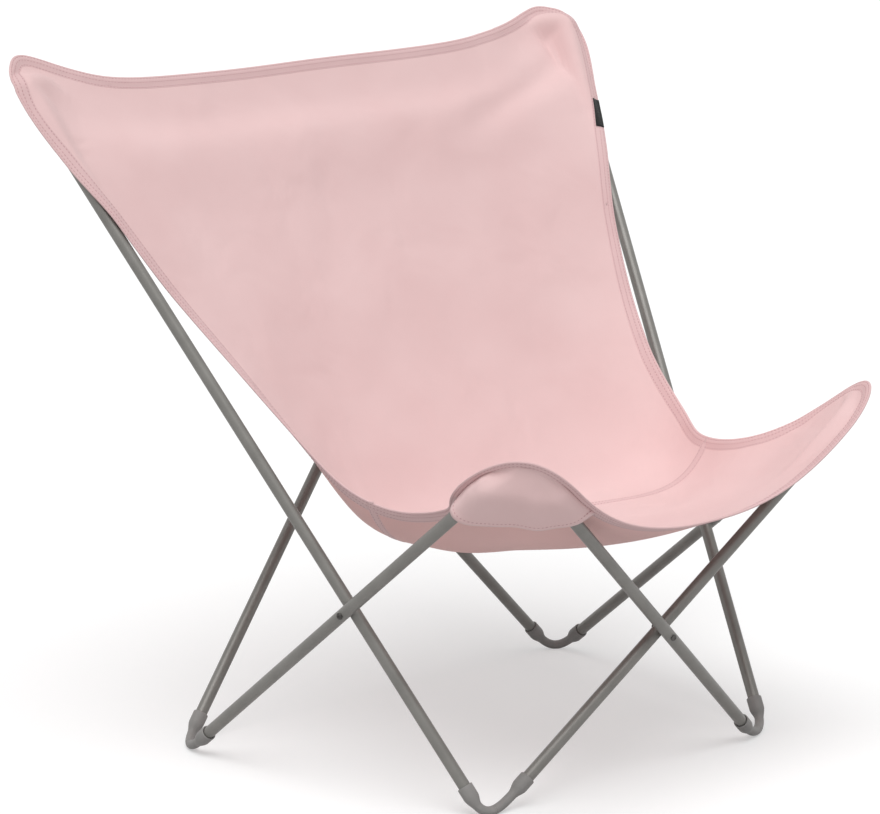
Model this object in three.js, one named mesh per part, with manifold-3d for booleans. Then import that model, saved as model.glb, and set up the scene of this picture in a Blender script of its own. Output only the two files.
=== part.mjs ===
import * as THREE from 'three';
import { mergeVertices } from 'three/addons/utils/BufferGeometryUtils.js';
import Module from 'manifold-3d';

// A folding butterfly chair: eight straight tubes in four scissor pairs, flexible U-shaped feet and tips
// on their ends, and a canvas sling of two panels that hangs on the four tips by sewn pockets.
// Millimetres, +Z up. The sitter faces -Y, and Z 0 is the floor.

// Tubes and scissor joints. Places are given for the right half: out from the middle, back, up.
const TUBE_DIAMETER = 16;
const TUBE_WALL = 1.2;
const CROSSING_GAP = 2.5;
const SIDE_PIVOT = new THREE.Vector3(336, -58, 249);
const FRONT_PIVOT = new THREE.Vector3(0, -288, 202);
const BACK_PIVOT = new THREE.Vector3(0, 321, 377);
const RIVET_DIAMETER = 4.6;
const RIVET_HEAD_DIAMETER = 9.5;
const RIVET_HEAD_HEIGHT = 2.4;
const RIVET_DIMPLE_DIAMETER = 3;
const SPACER_DIAMETER = 12;

// Visible length of each kind of tube, and where its axis leaves the socket of its foot
const SOCKET_HEIGHT = 36;
const SIDE_SHORT_FOOT = new THREE.Vector2(342, 203);
const SIDE_SHORT_LENGTH = 640;
const SIDE_LONG_FOOT = new THREE.Vector2(281, -203);
const SIDE_LONG_LENGTH = 1025;
const FRONT_FOOT = new THREE.Vector2(191, -242);
const FRONT_LENGTH = 605;
const BACK_FOOT = new THREE.Vector2(303, 266);
const BACK_LENGTH = 1112;

// Moulded U connectors
const SOCKET_WALL = 1.8;
const SOCKET_LENGTH = 27;
const SOCKET_TAPER = 6;
const TUBE_INSERT = 22;
const WEB_DIAMETER = 12.4;
const TIP_REACH = 30;
const FOOT_FLAT = 0.6;

// Sling. Each station gives the side hem and the middle line as set-offs from the straight line between
// the back tip and the front tip; fullness says how flat the cloth lies between the two.
const CLOTH_THICKNESS = 2;
const CLOTH_SLACK = 1.2;
const POCKET_SLACK = 5;
const SLING_STATIONS = [
  { at: 0.00, hemOut: 72, hemBack: 125, hemUp: 200, middleBack: 10, middleUp: 12, fullness: 7 },
  { at: 0.06, hemOut: 70, hemBack: 50, hemUp: 70, middleBack: 20, middleUp: -12, fullness: 6.5 },
  { at: 0.15, hemOut: 50, hemBack: 32, hemUp: -3, middleBack: 40, middleUp: -14, fullness: 4 },
  { at: 0.25, hemOut: 32, hemBack: 48, hemUp: -30, middleBack: 65, middleUp: -60, fullness: 2.8 },
  { at: 0.35, hemOut: 4, hemBack: 57, hemUp: -83, middleBack: 80, middleUp: -110, fullness: 2.2 },
  { at: 0.55, hemOut: -33, hemBack: 62, hemUp: -155, middleBack: 90, middleUp: -220, fullness: 4 },
  { at: 0.63, hemOut: -42, hemBack: 35, hemUp: -188, middleBack: 58, middleUp: -275, fullness: 6.5 },
  { at: 0.70, hemOut: -55, hemBack: 25, hemUp: -183, middleBack: 12, middleUp: -255, fullness: 7 },
  { at: 0.80, hemOut: -40, hemBack: -5, hemUp: -123, middleBack: 11, middleUp: -209, fullness: 4 },
  { at: 0.90, hemOut: 27, hemBack: -12, hemUp: -30, middleBack: -17, middleUp: -152, fullness: 2.2 },
  { at: 1.00, hemOut: 55, hemBack: -75, hemUp: 123, middleBack: -46, middleUp: -70, fullness: 2.5 },
];
const SEAM_PLACE = 0.65;
const SEAM_CURVE = 0.04;
const SEAM_TILT = 0.02;
const SEAM_GAP = 0.4;
const CORNER_WIDTH = 0.3;
const CORNER_LENGTH = 0.1;
const HEM_RISE = 0.045;
const DRAPE_SOFTNESS = 3;
const DRAPE_WIDTH = 36;
const DRAPE_LENGTH = 320;
const TAG_LENGTH = 38;
const TAG_WIDTH = 11;
const TAG_THICKNESS = 1.6;

// Clearance between pieces that touch or fit into each other
const FIT = 0.3;

// Fineness of round and curved shapes
const ROUND_SIDES = 16;
const WEB_STEPS = 14;
const CORNER_STEPS = 6;
const CORNER_GRADING = 1.6;
const MIDDLE_COLUMNS = 10;
const BACK_ROWS = 9;
const SEAT_ROWS = 5;
const WELD_DISTANCE = 1e-4;
const SLOPE_STEP = 1e-3;

const TUBE_RADIUS = TUBE_DIAMETER / 2;
const SPREAD = TUBE_DIAMETER + CROSSING_GAP;
const BORE_RADIUS = (TUBE_RADIUS + FIT) / Math.cos(Math.PI / ROUND_SIDES);
const SOCKET_RADIUS = BORE_RADIUS + SOCKET_WALL;
const WEB_RADIUS = WEB_DIAMETER / 2;
const RIVET_RADIUS = RIVET_DIAMETER / 2;
const CLOTH_ROOM = CLOTH_THICKNESS / 2 + FIT + CLOTH_SLACK;
const UP = new THREE.Vector3(0, 0, 1);
const DOWN = new THREE.Vector3(0, 0, -1);

const wasm = await Module();
wasm.setup();
const chair = new THREE.Group();

function satinMetal() {
  return new THREE.MeshStandardMaterial({ color: 0x807e7a, roughness: 0.45, metalness: 0.6 });
}

function greyPlastic() {
  return new THREE.MeshStandardMaterial({ color: 0x8c8a88, roughness: 0.6, metalness: 0 });
}

function darkSteel() {
  return new THREE.MeshStandardMaterial({ color: 0x4a4846, roughness: 0.4, metalness: 0.8 });
}

function blackNylon() {
  return new THREE.MeshStandardMaterial({ color: 0x1c1c1d, roughness: 0.7, metalness: 0 });
}

function pinkCanvas() {
  return new THREE.MeshStandardMaterial({ color: 0xe4c1c0, roughness: 0.95, metalness: 0 });
}

function addMesh(name, geometry, material) {
  const mesh = new THREE.Mesh(geometry, material);
  mesh.name = name;
  chair.add(mesh);
  return mesh;
}

function solidOf(geometry) {
  geometry.deleteAttribute('normal');
  geometry.deleteAttribute('uv');
  const merged = mergeVertices(geometry, WELD_DISTANCE);
  const triangles = [];
  for (let i = 0; i < merged.index.count; i += 3) {
    const [a, b, c] = [0, 1, 2].map((corner) => merged.index.getX(i + corner));
    if (a !== b && b !== c && c !== a) {
      triangles.push(a, b, c);
    }
  }
  const vertProperties = Float32Array.from(merged.attributes.position.array);
  const mesh = new wasm.Mesh({ numProp: 3, vertProperties, triVerts: Uint32Array.from(triangles) });
  return new wasm.Manifold(mesh);
}

function geometryOf(solid) {
  const { vertProperties, triVerts } = solid.getMesh();
  const geometry = new THREE.BufferGeometry();
  geometry.setAttribute('position', new THREE.BufferAttribute(vertProperties, 3));
  geometry.setIndex(new THREE.BufferAttribute(triVerts, 1));
  geometry.computeVertexNormals();
  return geometry;
}

// A turned shape about +Z from [radius, height] points
function turned(profile, sides) {
  const points = profile.map(([radius, height]) => new THREE.Vector2(radius, height));
  return new THREE.LatheGeometry(points, sides).rotateX(Math.PI / 2);
}

// A smooth change from 0 to 1 as the value runs either way between two bounds
function smoothstep(from, to, value) {
  return THREE.MathUtils.smoothstep((value - from) / (to - from), 0, 1);
}

// Axis of one tube, from its foot's socket through its scissor joint; hand is 1 right, -1 left
function tubeLine(name, hand, foot, pivot, length) {
  const mouth = new THREE.Vector3(hand * foot.x, foot.y, SOCKET_HEIGHT);
  const joint = new THREE.Vector3(hand * pivot.x, pivot.y, pivot.z);
  const direction = joint.clone().sub(mouth).normalize();
  return { name, mouth, direction, length, joint, jointAt: joint.distanceTo(mouth) };
}

function tubeEnd(line) {
  return line.mouth.clone().addScaledVector(line.direction, line.length);
}

function addTube(line, away) {
  const start = -TUBE_INSERT;
  const end = line.length + TUBE_INSERT;
  const inner = TUBE_RADIUS - TUBE_WALL;
  const profile = [[inner, start], [TUBE_RADIUS, start], [TUBE_RADIUS, end], [inner, end], [inner, start]];
  const holeRadius = RIVET_RADIUS + FIT;
  const drill = new THREE.CylinderGeometry(holeRadius, holeRadius, 2 * TUBE_DIAMETER, ROUND_SIDES);
  drill.rotateZ(Math.PI / 2).translate(0, 0, line.jointAt);
  const drilled = solidOf(turned(profile, ROUND_SIDES)).subtract(solidOf(drill));
  const mesh = addMesh(line.name, geometryOf(drilled), satinMetal());
  const sideways = line.direction.clone().cross(away);
  const turn = new THREE.Matrix4().makeBasis(away, sideways, line.direction);
  mesh.quaternion.setFromRotationMatrix(turn);
  mesh.position.copy(line.mouth);
}

function addRivet(name, joint, outward) {
  const shoulder = TUBE_DIAMETER + CROSSING_GAP / 2 + FIT;
  const crown = shoulder + RIVET_HEAD_HEIGHT;
  const rim = shoulder + RIVET_HEAD_HEIGHT / 3;
  const headRadius = RIVET_HEAD_DIAMETER / 2;
  const crownRadius = (headRadius + RIVET_DIMPLE_DIAMETER / 2) / 2;
  const profile = [
    [0, -crown], [crownRadius, -crown], [headRadius, -rim], [headRadius, -shoulder],
    [RIVET_RADIUS, -shoulder], [RIVET_RADIUS, shoulder],
    [headRadius, shoulder], [headRadius, rim], [crownRadius, crown],
    [RIVET_DIMPLE_DIAMETER / 2, crown], [RIVET_DIMPLE_DIAMETER / 2, rim], [0, rim],
  ];
  const mesh = addMesh(name, turned(profile, ROUND_SIDES), darkSteel());
  mesh.quaternion.setFromUnitVectors(UP, outward);
  mesh.position.copy(joint);
}

function addSpacer(name, joint, outward) {
  const inner = (RIVET_RADIUS + FIT) / Math.cos(Math.PI / ROUND_SIDES);
  const outer = SPACER_DIAMETER / 2;
  const half = CROSSING_GAP / 2 - FIT;
  const profile = [[inner, -half], [outer, -half], [outer, half], [inner, half], [inner, -half]];
  const mesh = addMesh(name, turned(profile, ROUND_SIDES), blackNylon());
  mesh.quaternion.setFromUnitVectors(UP, outward);
  mesh.position.copy(joint);
}

// Two tubes crossing at one rivet: each is set to its own side of the joint, with a spacer between
function addScissor(place, facing, outer, inner) {
  const outward = outer.direction.clone().cross(inner.direction).normalize();
  if (outward.dot(facing) < 0) {
    outward.negate();
  }
  const joint = outer.joint.clone();
  outer.mouth.addScaledVector(outward, SPREAD / 2);
  inner.mouth.addScaledVector(outward, -SPREAD / 2);
  addTube(outer, outward);
  addTube(inner, outward.clone().negate());
  addRivet(`rivet_${place}`, joint, outward);
  addSpacer(`spacer_${place}`, joint, outward);
}

function socketPart(end, profile, sides) {
  const turn = new THREE.Quaternion().setFromUnitVectors(UP, end.direction);
  return solidOf(turned(profile, sides).applyQuaternion(turn).translate(...end.mouth.toArray()));
}

// A U of two sockets and a bent web between them, whose middle lies at the given reach along the axis.
// The web is a cubic curve: its handles share one length, the lead, which sets that reach.
function connectorSolid(ends, axis, reach) {
  const webStart = SOCKET_LENGTH - SOCKET_TAPER;
  const [from, to] = ends.map((end) => end.mouth.clone().addScaledVector(end.direction, webStart));
  const middle = ends[0].mouth.clone().add(ends[1].mouth).multiplyScalar(0.5);
  const startHeight = from.clone().add(to).sub(middle).sub(middle).dot(axis);
  const pull = ends[0].direction.clone().add(ends[1].direction).dot(axis);
  const lead = 4 * (2 * reach - startHeight) / (3 * pull);
  const path = new THREE.CubicBezierCurve3(
    from,
    from.clone().addScaledVector(ends[0].direction, lead),
    to.clone().addScaledVector(ends[1].direction, lead),
    to,
  );
  const circle = new THREE.Shape().absarc(0, 0, WEB_RADIUS, 0, 2 * Math.PI);
  const curveSegments = ROUND_SIDES / 2;
  const sweep = { steps: WEB_STEPS, curveSegments, extrudePath: path, bevelEnabled: false };
  let solid = solidOf(new THREE.ExtrudeGeometry(circle, sweep));
  const socket = [
    [0, 0], [SOCKET_RADIUS, 0], [SOCKET_RADIUS, SOCKET_LENGTH - SOCKET_TAPER],
    [WEB_RADIUS + FIT, SOCKET_LENGTH], [0, SOCKET_LENGTH],
  ];
  const depth = TUBE_INSERT + FIT;
  const bore = [[0, -SOCKET_LENGTH], [BORE_RADIUS, -SOCKET_LENGTH], [BORE_RADIUS, depth], [0, depth]];
  for (const end of ends) {
    solid = solid.add(socketPart(end, socket, ROUND_SIDES));
  }
  for (const end of ends) {
    solid = solid.subtract(socketPart(end, bore, ROUND_SIDES));
  }
  return solid;
}

function addFoot(name, lines) {
  const ends = lines.map((line) => ({ mouth: line.mouth, direction: line.direction.clone().negate() }));
  const height = (ends[0].mouth.z + ends[1].mouth.z) / 2;
  const solid = connectorSolid(ends, DOWN, height - WEB_RADIUS + FOOT_FLAT);
  const span = 4 * ends[0].mouth.distanceTo(ends[1].mouth);
  const floor = new THREE.BoxGeometry(span, span, SOCKET_HEIGHT);
  floor.translate(ends[0].mouth.x, ends[0].mouth.y, -SOCKET_HEIGHT / 2);
  addMesh(name, geometryOf(solid.subtract(solidOf(floor))), greyPlastic());
}

function addTip(name, lines) {
  const ends = lines.map((line) => ({ mouth: tubeEnd(line), direction: line.direction }));
  const axis = lines[0].direction.clone().add(lines[1].direction).normalize();
  addMesh(name, geometryOf(connectorSolid(ends, axis, TIP_REACH)), greyPlastic());
}

const leftShort = tubeLine('tube_left_short', -1, SIDE_SHORT_FOOT, SIDE_PIVOT, SIDE_SHORT_LENGTH);
const leftLong = tubeLine('tube_left_long', -1, SIDE_LONG_FOOT, SIDE_PIVOT, SIDE_LONG_LENGTH);
const rightShort = tubeLine('tube_right_short', 1, SIDE_SHORT_FOOT, SIDE_PIVOT, SIDE_SHORT_LENGTH);
const rightLong = tubeLine('tube_right_long', 1, SIDE_LONG_FOOT, SIDE_PIVOT, SIDE_LONG_LENGTH);
const frontOuter = tubeLine('tube_front_outer', 1, FRONT_FOOT, FRONT_PIVOT, FRONT_LENGTH);
const frontInner = tubeLine('tube_front_inner', -1, FRONT_FOOT, FRONT_PIVOT, FRONT_LENGTH);
const backOuter = tubeLine('tube_back_outer', -1, BACK_FOOT, BACK_PIVOT, BACK_LENGTH);
const backInner = tubeLine('tube_back_inner', 1, BACK_FOOT, BACK_PIVOT, BACK_LENGTH);

addScissor('left', new THREE.Vector3(-1, 0, 0), leftShort, leftLong);
addScissor('right', new THREE.Vector3(1, 0, 0), rightShort, rightLong);
addScissor('front', new THREE.Vector3(0, -1, 0), frontOuter, frontInner);
addScissor('back', new THREE.Vector3(0, 1, 0), backOuter, backInner);

addFoot('foot_rear_left', [leftShort, backOuter]);
addFoot('foot_rear_right', [rightShort, backInner]);
addFoot('foot_front_left', [leftLong, frontInner]);
addFoot('foot_front_right', [rightLong, frontOuter]);

addTip('tip_back_left', [leftLong, backInner]);
addTip('tip_back_right', [rightLong, backOuter]);
addTip('tip_front_left', [leftShort, frontOuter]);
addTip('tip_front_right', [rightShort, frontInner]);

// The plane of one tip, with its two tubes; the cloth lies on its upper side
function tipFrame(lines) {
  const [first, second] = lines;
  const origin = tubeEnd(first).add(tubeEnd(second)).multiplyScalar(0.5);
  const normal = first.direction.clone().cross(second.direction).normalize();
  normal.multiplyScalar(Math.sign(normal.z));
  const legs = lines.map((line) => ({ end: tubeEnd(line), direction: line.direction }));
  const slant = Math.abs(legs[0].end.clone().sub(origin).dot(normal));
  return { origin, normal, legs, clearance: SOCKET_RADIUS + slant + CLOTH_ROOM };
}

const tips = {
  backLeft: tipFrame([leftLong, backInner]),
  backRight: tipFrame([rightLong, backOuter]),
  frontLeft: tipFrame([leftShort, frontOuter]),
  frontRight: tipFrame([rightShort, frontInner]),
};

// The middle of two tips, as a place on the right side
function evenPlace(left, right) {
  const mirrored = new THREE.Vector3(-left.origin.x, left.origin.y, left.origin.z);
  return mirrored.add(right.origin).multiplyScalar(0.5);
}

const backPlace = evenPlace(tips.backLeft, tips.backRight);
const frontPlace = evenPlace(tips.frontLeft, tips.frontRight);

const stationPlaces = SLING_STATIONS.map((station) => station.at);
const stationValues = SLING_STATIONS.flatMap((station) => [
  station.hemOut, station.hemBack, station.hemUp,
  station.middleBack, station.middleUp, station.fullness,
]);
const stations = new THREE.CubicInterpolant(stationPlaces, stationValues, 6);

function raise(tip, point, height, clearance, weight) {
  const spare = height - clearance;
  const lift = (Math.hypot(spare, DRAPE_SOFTNESS) - spare) / 2;
  point.addScaledVector(tip.normal, weight * lift);
}

// Share of the full clearance at a place of the cloth: none on the hem, all of it over the sockets
function hemRise(across, along) {
  const side = Math.max(0, (Math.abs(across) - 1) / CORNER_WIDTH + 1);
  const end = Math.max(0, 1 - Math.min(along, 1 - along) / CORNER_LENGTH);
  return THREE.MathUtils.clamp((1 - Math.hypot(side, end)) / HEM_RISE, 0, 1);
}

// Near a tip the cloth is carried over the connector and its two tubes instead of passing through them
function drapeOver(tip, point, rise, weight) {
  raise(tip, point, point.clone().sub(tip.origin).dot(tip.normal), rise * tip.clearance, weight);
  for (const { end, direction } of tip.legs) {
    const offset = point.clone().sub(end);
    const beyond = offset.dot(direction);
    offset.addScaledVector(direction, -beyond);
    const height = offset.dot(tip.normal);
    const aside = offset.addScaledVector(tip.normal, -height).length();
    const nearby = smoothstep(DRAPE_WIDTH, TUBE_DIAMETER, aside);
    const onTube = smoothstep(0, -2 * SOCKET_LENGTH, beyond);
    const fade = smoothstep(-DRAPE_LENGTH, -DRAPE_LENGTH / 2, beyond);
    raise(tip, point, height, TUBE_RADIUS + CLOTH_ROOM, nearby * onTube * fade);
  }
}

// Middle surface of the hanging cloth: across runs -1 left to 1 right, along runs 0 top to 1 front
function slingPoint(across, along, rise) {
  const [hemOut, hemBack, hemUp, middleBack, middleUp, fullness] = stations.evaluate(along);
  const line = backPlace.clone().lerp(frontPlace, along);
  const bend = Math.abs(across) ** fullness;
  const point = new THREE.Vector3(
    across * (line.x + hemOut),
    line.y + THREE.MathUtils.lerp(middleBack, hemBack, bend),
    line.z + THREE.MathUtils.lerp(middleUp, hemUp, bend),
  );
  const outer = smoothstep(1 - 2 * CORNER_WIDTH, 1 - CORNER_WIDTH, Math.abs(across));
  const backTip = across < 0 ? tips.backLeft : tips.backRight;
  const frontTip = across < 0 ? tips.frontLeft : tips.frontRight;
  drapeOver(backTip, point, rise, outer * smoothstep(2 * CORNER_LENGTH, CORNER_LENGTH, along));
  drapeOver(frontTip, point, rise, outer * smoothstep(1 - 2 * CORNER_LENGTH, 1 - CORNER_LENGTH, along));
  return point;
}

// Places across a rounded corner, from its inner border to the hem, set closer towards the hem
const cornerPlaces = [];
for (let i = 0; i <= CORNER_STEPS; i += 1) {
  cornerPlaces.push(1 - (1 - i / CORNER_STEPS) ** CORNER_GRADING);
}

// Across and along of a place in a corner, both given from 0 on the inner border to 1 on the hem
function cornerAcross(place) {
  return 1 - CORNER_WIDTH * (1 - place);
}

function cornerAlong(place) {
  return CORNER_LENGTH * (1 - place);
}

// One point of the cloth with its normal; the four corners of the outline are rounded off
function slingNode(across, along) {
  const side = Math.max(0, (Math.abs(across) - 1) / CORNER_WIDTH + 1);
  const fromEnd = Math.min(along, 1 - along);
  const end = Math.max(0, 1 - fromEnd / CORNER_LENGTH);
  const sideShift = CORNER_WIDTH * side * (Math.sqrt(1 - end * end / 2) - 1);
  const endShift = CORNER_LENGTH * end * (Math.sqrt(1 - side * side / 2) - 1);
  const u = across + Math.sign(across) * sideShift;
  const v = along < 0.5 ? along - endShift : along + endShift;
  const acrossWay = slingPoint(u + SLOPE_STEP, v, 1).sub(slingPoint(u - SLOPE_STEP, v, 1));
  const alongWay = slingPoint(u, v + SLOPE_STEP, 1).sub(slingPoint(u, v - SLOPE_STEP, 1));
  const rise = hemRise(u, v);
  return { point: slingPoint(u, v, rise), normal: alongWay.cross(acrossWay).normalize(), rise };
}

// A sheet of the cloth's thickness from nodes on its middle surface and triangles facing the normals
function clothGeometry(nodes, triangles) {
  const positions = [];
  for (const half of [CLOTH_THICKNESS / 2, -CLOTH_THICKNESS / 2]) {
    for (const { point, normal } of nodes) {
      positions.push(...point.clone().addScaledVector(normal, half).toArray());
    }
  }
  const under = nodes.length;
  const index = [];
  const borders = new Map();
  for (const [a, b, c] of triangles) {
    index.push(a, b, c, a + under, c + under, b + under);
    for (const [p, q] of [[a, b], [b, c], [c, a]]) {
      if (!borders.delete(`${q} ${p}`)) {
        borders.set(`${p} ${q}`, [p, q]);
      }
    }
  }
  for (const [p, q] of borders.values()) {
    index.push(q, p, p + under, q, p + under, q + under);
  }
  const geometry = new THREE.BufferGeometry();
  geometry.setAttribute('position', new THREE.Float32BufferAttribute(positions, 3));
  geometry.setIndex(index);
  geometry.computeVertexNormals();
  return geometry;
}

const rightColumns = cornerPlaces.map(cornerAcross);
const leftColumns = rightColumns.map((across) => -across).reverse();
const middleColumns = [];
for (let i = 1; i < MIDDLE_COLUMNS; i += 1) {
  middleColumns.push((1 - CORNER_WIDTH) * (2 * i / MIDDLE_COLUMNS - 1));
}
const columns = [...leftColumns, ...middleColumns, ...rightColumns];

// Rows of one panel from its tongues to the seam
function panelRows(stepsToSeam, seam) {
  const rows = cornerPlaces.map(cornerAlong).reverse();
  for (let i = 1; i <= stepsToSeam; i += 1) {
    rows.push(THREE.MathUtils.lerp(CORNER_LENGTH, seam, i / stepsToSeam));
  }
  return rows;
}

function addPanel(name, rows, seamRow, isBack) {
  const nodes = [];
  for (const row of rows) {
    for (const across of columns) {
      const bend = (SEAM_CURVE * across * across + SEAM_TILT * across)
        * smoothstep(2 * CORNER_LENGTH, seamRow, row);
      nodes.push(slingNode(across, isBack ? row + bend : 1 - row + bend));
    }
  }
  const width = columns.length;
  const triangles = [];
  for (let i = 0; i + 1 < rows.length; i += 1) {
    for (let j = 0; j + 1 < width; j += 1) {
      const [near, nextColumn] = [i * width + j, i * width + j + 1];
      const [nextRow, far] = [near + width, nextColumn + width];
      const pair = columns[j] >= 0
        ? [[near, nextRow, far], [near, far, nextColumn]]
        : [[near, nextRow, nextColumn], [nextColumn, nextRow, far]];
      triangles.push(...pair.map((corners) => (isBack ? corners : corners.reverse())));
    }
  }
  addMesh(name, clothGeometry(nodes, triangles), pinkCanvas());
}

const seamStep = SEAM_GAP / backPlace.distanceTo(frontPlace);
const backRows = panelRows(BACK_ROWS, SEAM_PLACE - seamStep);
const seatRows = panelRows(SEAT_ROWS, 1 - SEAM_PLACE);
addPanel('sling_back_panel', backRows, backRows[backRows.length - 1], true);
addPanel('sling_seat_panel', seatRows, seatRows[seatRows.length - 1], false);

// A pocket is a three-cornered patch that passes below a connector: it is sewn to the tongue along the
// hem and open towards the middle of the sling
function addPocket(name, tip, hand, isBack) {
  const nodes = [];
  const numbers = new Map();
  for (let i = 0; i <= CORNER_STEPS; i += 1) {
    for (let j = CORNER_STEPS - i; j <= CORNER_STEPS; j += 1) {
      const across = hand * cornerAcross(cornerPlaces[i]);
      const along = isBack ? cornerAlong(cornerPlaces[j]) : 1 - cornerAlong(cornerPlaces[j]);
      const { point, normal, rise } = slingNode(across, along);
      const height = point.clone().sub(tip.origin).dot(tip.normal);
      const onHem = i === CORNER_STEPS || j === CORNER_STEPS;
      const depth = onHem ? 0 : height + rise * (tip.clearance + POCKET_SLACK);
      point.addScaledVector(normal, -Math.max(depth, CLOTH_THICKNESS + FIT));
      numbers.set(`${i} ${j}`, nodes.length);
      nodes.push({ point, normal });
    }
  }
  const triangles = [];
  for (let i = 0; i < CORNER_STEPS; i += 1) {
    for (let j = CORNER_STEPS - 1 - i; j < CORNER_STEPS; j += 1) {
      const [right, up] = [numbers.get(`${i + 1} ${j}`), numbers.get(`${i} ${j + 1}`)];
      triangles.push([right, numbers.get(`${i + 1} ${j + 1}`), up]);
      if (numbers.has(`${i} ${j}`)) {
        triangles.push([numbers.get(`${i} ${j}`), right, up]);
      }
    }
  }
  const mirrored = (hand < 0) === isBack;
  const facing = triangles.map((corners) => (mirrored ? corners.reverse() : corners));
  addMesh(name, clothGeometry(nodes, facing), pinkCanvas());
}

addPocket('pocket_back_left', tips.backLeft, -1, true);
addPocket('pocket_back_right', tips.backRight, 1, true);
addPocket('pocket_front_left', tips.frontLeft, -1, false);
addPocket('pocket_front_right', tips.frontRight, 1, false);

// A blank tag sewn to the right side hem below the tongue
function addTag() {
  const [above, here, below] = [0, 1, 2].map((step) => slingNode(1, backRows[CORNER_STEPS + step]));
  const alongHem = below.point.sub(above.point).normalize();
  const outward = here.normal.clone().cross(alongHem).normalize();
  const plate = new THREE.BoxGeometry(TAG_WIDTH, TAG_LENGTH, TAG_THICKNESS);
  const mesh = addMesh('label_tag', plate, blackNylon());
  const turn = new THREE.Matrix4().makeBasis(outward, alongHem, outward.clone().cross(alongHem));
  mesh.quaternion.setFromRotationMatrix(turn);
  mesh.position.copy(here.point).addScaledVector(outward, TAG_WIDTH / 2 + 2 * FIT);
}

addTag();

// The origin is on the floor under the middle of the chair
const centre = new THREE.Box3().setFromObject(chair, true).getCenter(new THREE.Vector3());
chair.position.set(-centre.x, -centre.y, 0);

export default chair;
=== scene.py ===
import math

import bpy
import numpy as np
from mathutils import Matrix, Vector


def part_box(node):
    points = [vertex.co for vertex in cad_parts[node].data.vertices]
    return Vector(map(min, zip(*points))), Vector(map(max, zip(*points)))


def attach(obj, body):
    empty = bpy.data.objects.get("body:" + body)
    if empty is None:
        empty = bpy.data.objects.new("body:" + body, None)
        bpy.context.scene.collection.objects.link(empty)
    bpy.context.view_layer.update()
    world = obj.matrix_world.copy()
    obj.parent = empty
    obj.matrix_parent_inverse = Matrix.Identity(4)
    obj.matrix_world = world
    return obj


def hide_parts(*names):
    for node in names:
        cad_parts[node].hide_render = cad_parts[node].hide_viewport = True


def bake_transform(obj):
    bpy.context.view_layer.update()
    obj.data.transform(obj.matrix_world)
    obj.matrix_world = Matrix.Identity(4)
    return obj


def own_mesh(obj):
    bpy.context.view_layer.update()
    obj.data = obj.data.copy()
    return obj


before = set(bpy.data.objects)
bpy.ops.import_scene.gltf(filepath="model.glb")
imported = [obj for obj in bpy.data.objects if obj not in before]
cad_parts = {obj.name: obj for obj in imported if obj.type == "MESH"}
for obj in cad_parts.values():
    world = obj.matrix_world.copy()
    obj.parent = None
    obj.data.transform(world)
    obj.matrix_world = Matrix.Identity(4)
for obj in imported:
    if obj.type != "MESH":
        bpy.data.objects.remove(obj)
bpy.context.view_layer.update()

# Sizes in millimetres, as in the part's source. Places are for the right half: out, back, up.
TUBE_RADIUS = 8.0
CROSSING_GAP = 2.5
SPREAD = 2 * TUBE_RADIUS + CROSSING_GAP
SIDE_PIVOT = (336, -58, 249)
FRONT_PIVOT = (0, -288, 202)
BACK_PIVOT = (0, 321, 377)
SOCKET_HEIGHT = 36
SIDE_SHORT = {"foot": (342, 203), "pivot": SIDE_PIVOT, "length": 640}
SIDE_LONG = {"foot": (281, -203), "pivot": SIDE_PIVOT, "length": 1025}
FRONT = {"foot": (191, -242), "pivot": FRONT_PIVOT, "length": 605}
BACK = {"foot": (303, 266), "pivot": BACK_PIVOT, "length": 1112}
TUBE_INSERT = 22
FIT = 0.3
BORE_RADIUS = (TUBE_RADIUS + FIT) / math.cos(math.pi / 16)
SOCKET_RADIUS = BORE_RADIUS + 1.8
SOCKET_STRAIGHT = 21
SOCKET_LENGTH = 27
WEB_RADIUS = 6.2
TIP_REACH = 30
FOOT_FLAT = 0.6
RIVET_RADIUS = 2.3
RIVET_HEAD_RADIUS = 4.75
RIVET_HEAD_HEIGHT = 2.4
RIVET_DIMPLE_RADIUS = 1.5
SPACER_RADIUS = 6.0

# Sling stations: place along, hem out, hem back, hem up, middle back, middle up, fullness
STATIONS = np.array([
    (0.00, 72, 125, 200, 10, 12, 7),
    (0.06, 70, 50, 70, 20, -12, 6.5),
    (0.15, 50, 32, -3, 40, -14, 4),
    (0.25, 32, 48, -30, 65, -60, 2.8),
    (0.35, 4, 57, -83, 80, -110, 2.2),
    (0.55, -33, 62, -155, 90, -220, 4),
    (0.63, -42, 35, -188, 58, -275, 6.5),
    (0.70, -55, 25, -183, 12, -255, 7),
    (0.80, -40, -5, -123, 11, -209, 4),
    (0.90, 27, -12, -30, -17, -152, 2.2),
    (1.00, 55, -75, 123, -46, -70, 2.5),
])
SEAM_PLACE = 0.65
SEAM_CURVE = 0.04
SEAM_TILT = 0.02
CORNER_WIDTH = 0.3
CORNER_LENGTH = 0.1
CLOTH_ROOM = 2.0
# The right back tongue stands lower than the left one
RIGHT_TONGUE_DROP = 12

# Soft folds: start and end (across, along), height in millimetres and half width
FOLDS = (
    ((0.86, 0.030), (0.945, 0.120), -9.0, 8),
    ((0.945, 0.115), (0.955, 0.150), -2.5, 4.5),
    ((0.93, 0.080), (0.47, 0.170), -9.0, 26),
    ((0.97, 0.868), (0.74, 0.975), -5.0, 10),
    ((0.80, 0.835), (0.62, 0.930), 2.5, 16),
    ((0.89, 0.765), (0.98, 0.785), -2.2, 7),
    ((-0.98, 0.130), (-0.86, 0.118), -1.6, 4),
    ((-0.98, 0.145), (-0.88, 0.140), -1.4, 4),
    ((-0.84, 0.870), (-0.66, 0.925), -2.5, 12),
)
# Millimetres of cloth for a unit step across and along
CLOTH_SCALE = np.array([480, 830])


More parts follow.
